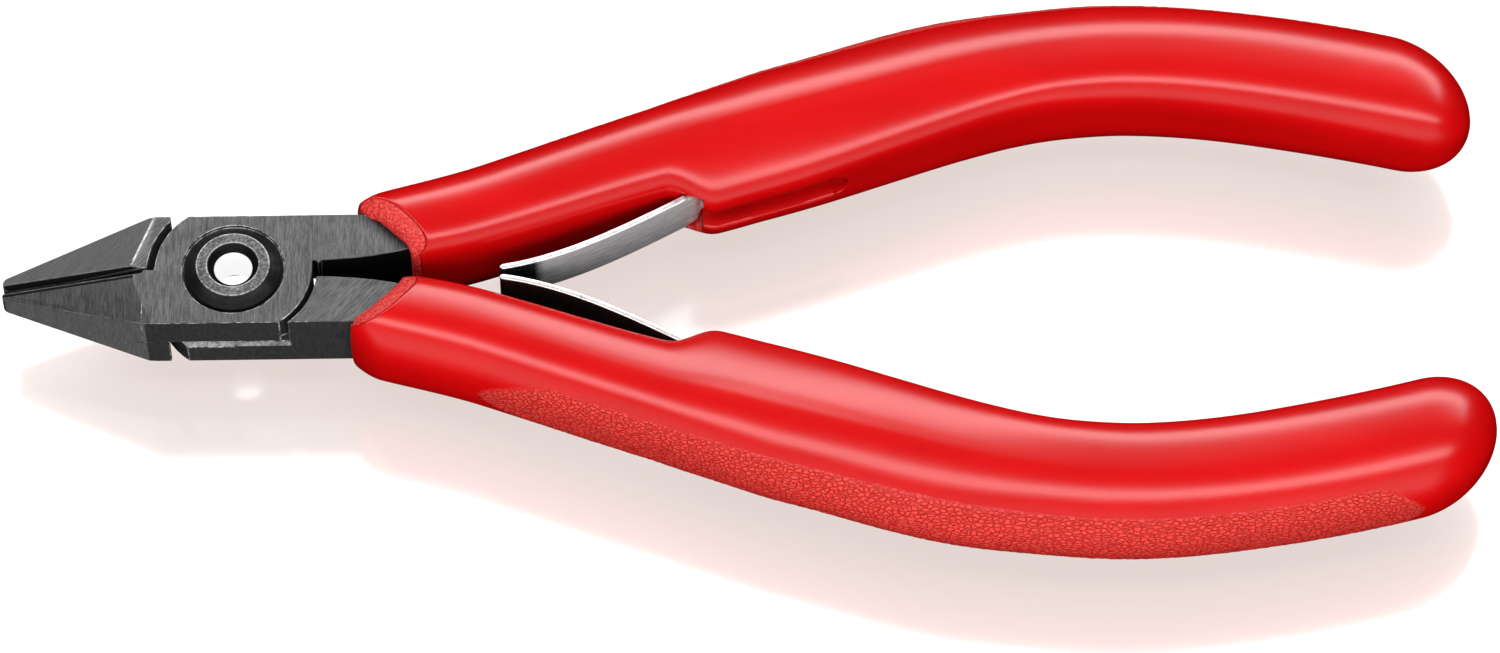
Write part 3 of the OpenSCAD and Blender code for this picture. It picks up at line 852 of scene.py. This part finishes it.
def spring_steel():
    """Bright rolled strip: edges painted white as a highlight, satin faces with fine lengthwise
    lines, painted dark where shade and a reflection fall.
    """
    n = Nodes("leaf_spring_steel")
    _, ny, nz = n.parts("Normal")
    edge = n.span(n.math("ABSOLUTE", nz), 0.55, 0.8, 0, 1)
    lines = n.noise(n.position((0.5, 0.5, 9)), 1.0, 5, 0.6)
    pits = n.noise(n.position((3, 3, 3)), 1.0, 4)
    x, y, _ = n.parts("Object", 1000.0)
    # painted shade: the outer face of each strip is painted near black; only the inner face keeps
    # the satin colour
    inner = n.span(n.math("MULTIPLY", y, ny), -0.1, 0.1, 1, 0)
    face = n.mix(n.span(lines, 0.3, 0.7, 0, 1), (0.52, 0.52, 0.525), (0.62, 0.62, 0.625))
    # painted reflection: the tip of the inner face is painted dark, as the other spring's mirror
    # image
    inner = n.math("MULTIPLY", inner, n.span(x, 25.2, 26.0, 0, 1))
    face = n.mix(inner, (0.012, 0.012, 0.013), face)
    edge_highlight = n.mix(n.span(pits, 0.55, 0.7, 0, 1), (0.95, 0.95, 0.95), (0.6, 0.6, 0.6))
    n.set(Base_Color=n.mix(edge, face, edge_highlight), Metallic=n.span(edge, 0, 1, 0.35, 0.5),
          Roughness=n.span(lines, 0.3, 0.7, 0.22, 0.32))
    n.bump(n.math("ADD", lines, n.math("MULTIPLY", pits, 0.5)), 0.01, 0.5)
    return n.material


def pin_steel():
    n = Nodes("pin_finish")
    lines = n.noise(n.position((4, 4, 0.4)), 1.0, 4)
    colour = n.mix(n.span(lines, 0.3, 0.7, 0, 1), (0.3, 0.3, 0.31), (0.45, 0.45, 0.46))
    n.set(Base_Color=colour, Metallic=1.0, Roughness=n.span(lines, 0.3, 0.7, 0.25, 0.4))
    n.bump(lines, 0.005, 0.5)
    return n.material


def floor_white():
    n = Nodes("white_floor")
    speck = n.noise(n.position((0.02, 0.02, 0.02)), 1.0, 2)
    tone = n.mix(speck, (0.10, 0.099, 0.098), (0.12, 0.119, 0.118))
    n.set(Base_Color=tone, Roughness=0.5, Emission_Color=(1.0, 0.87, 0.83), Emission_Strength=0.9)
    n.set(Coat_Weight=1.0, Coat_Roughness=0.14, Coat_IOR=2.6)
    return n.material


# ---------------------------------------------------------------- dressing the CAD parts

def give(obj, material):
    """Put one material on every slot of an object."""
    if not obj.material_slots:
        obj.data.materials.append(material)
    for item in obj.material_slots:
        item.material = material


def soften(obj, width, wear_and_highlight=None):
    """Round the sharp edges of a CAD part a little, and give them the edge material, partly wear and
    partly painted highlight.
    """
    weld = obj.modifiers.new("weld", "WELD")
    weld.merge_threshold = 1e-6
    flat = obj.modifiers.new("flat", "DECIMATE")
    flat.decimate_type = "DISSOLVE"
    flat.angle_limit = math.radians(1)
    bevel = obj.modifiers.new("edge", "BEVEL")
    bevel.width = width * MM
    bevel.segments = 2
    bevel.limit_method = "ANGLE"
    bevel.angle_limit = math.radians(28)
    bevel.use_clamp_overlap = False
    if wear_and_highlight:
        obj.data.materials.append(wear_and_highlight)
        bevel.material = len(obj.data.materials) - 1
    shade = obj.modifiers.new("shade", "WEIGHTED_NORMAL")
    shade.keep_sharp = False


def dress_steel():
    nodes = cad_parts
    wear_and_highlight = worn_edge_and_highlight()
    for half, turn in (("upper", 0), ("lower", LOWER_LEVER_TURN)):
        lever = nodes[f"{half}_lap_lever"]
        give(lever, ground_steel(f"{half}_lever_steel", LEVER_DARK, LEVER_LIGHT, turn))
        soften(lever, EDGE_ROUND, wear_and_highlight)
    give(nodes["joint_rivet"], rivet_steel())
    soften(nodes["joint_rivet"], EDGE_ROUND)
    for name in ("far_spring_pin", "near_spring_pin"):
        give(nodes[name], pin_steel())


def make_sleeves():
    red = red_plastic()
    for side, label, body, total in ((1, "far", "upper_half", FRONT_FAR),
                                     (-1, "near", "lower_half", FRONT_NEAR)):
        obj = build_sleeve(f"{label}_sleeve_skin", side, total, 3.0 + side)
        give(obj, red)
        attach(obj, body)
        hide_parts(f"{label}_grip_sleeve")


def make_springs():
    steel = spring_steel()
    for side, label in ((1, "far"), (-1, "near")):
        obj = build_spring(f"{label}_spring_strip", side)
        give(obj, steel)
        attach(obj, f"{label}_spring")
        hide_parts(f"{label}_leaf_spring")


# ---------------------------------------------------------------- studio

def aim(obj, target):
    way = Vector(target) * MM - obj.location
    obj.rotation_euler = way.to_track_quat("-Z", "Y").to_euler()


def softbox(name, place, target, size, power):
    """A rectangular lamp. place, target and size are in millimetres."""
    lamp = bpy.data.lights.new(name, "AREA")
    lamp.shape = "RECTANGLE"
    lamp.size, lamp.size_y = size[0] * MM, size[1] * MM
    lamp.energy = power
    obj = bpy.data.objects.new(name, lamp)
    bpy.context.scene.collection.objects.link(obj)
    obj.location = Vector(place) * MM
    aim(obj, target)
    return obj


def polar(elevation, distance, azimuth):
    """A place seen from the tool's middle. Azimuth 0 is straight in front, 180 behind."""
    e, a = math.radians(elevation), math.radians(azimuth)
    return (MIDDLE_X + distance * math.cos(e) * math.sin(a), -distance * math.cos(e) * math.cos(a),
            distance * math.sin(e))


def make_lights():
    for name, elevation, distance, azimuth, size, power in LAMPS:
        place = polar(elevation, distance, azimuth)
        lamp = softbox(name, place, (MIDDLE_X, 0, 0), size, power)
        lamp.visible_glossy = name != "front_fill"


def make_world():
    """Dim room: darker below the horizon, a little lighter higher up."""
    world = bpy.data.worlds.new("studio")
    bpy.context.scene.world = world
    world.use_nodes = True
    tree = world.node_tree
    back = tree.nodes["Background"]
    coord = tree.nodes.new("ShaderNodeTexCoord")
    part = tree.nodes.new("ShaderNodeSeparateXYZ")
    rise = tree.nodes.new("ShaderNodeMapRange")
    for key, value in (("From Min", -0.1), ("From Max", 0.5), ("To Min", 0.02), ("To Max", 0.05)):
        rise.inputs[key].default_value = value
    tree.links.new(coord.outputs["Generated"], part.inputs[0])
    tree.links.new(part.outputs[2], rise.inputs["Value"])
    tree.links.new(rise.outputs[0], back.inputs["Strength"])


def light_floor_only(lamp, floor):
    """Let a lamp reach the floor and nothing else."""
    only = bpy.data.collections.new(f"{lamp.name}_receivers")
    only.objects.link(floor)
    lamp.light_linking.receiver_collection = only


def make_floor():
    corners = [[x * FLOOR_HALF_SIZE, y * FLOOR_HALF_SIZE, FLOOR_Z]
               for x, y in ((-1, -1), (1, -1), (1, 1), (-1, 1))]
    floor = mesh_object("floor", corners, [(0, 1, 2, 3)], False)
    give(floor, floor_white())
    floor.visible_glossy = False
    floor.visible_diffuse = False
    # a bright card above and behind, which only the floor mirrors: it makes the floor white, and
    # the tool's mirror image is where the tool hides it
    card = softbox("floor_card", polar(*FLOOR_CARD), (MIDDLE_X, 0, FLOOR_Z), FLOOR_CARD_SIZE,
                   FLOOR_CARD_POWER)
    light_floor_only(card, floor)


def make_camera():
    data = bpy.data.cameras.new("camera")
    data.sensor_width = SENSOR_WIDTH
    data.lens = LENS
    data.clip_start, data.clip_end = 0.01, 20
    camera = bpy.data.objects.new("camera", data)
    bpy.context.scene.collection.objects.link(camera)
    e, a = math.radians(CAMERA_ELEVATION), math.radians(CAMERA_AZIMUTH)
    way = Vector((math.sin(a) * math.cos(e), -math.cos(a) * math.cos(e), math.sin(e)))
    camera.location = (Vector(CAMERA_TARGET) + way * CAMERA_DISTANCE) * MM
    aim(camera, CAMERA_TARGET)
    bpy.context.scene.camera = camera
    bpy.context.scene.view_settings.view_transform = "Standard"


dress_steel()
make_sleeves()
make_springs()
make_floor()
make_lights()
make_world()
make_camera()
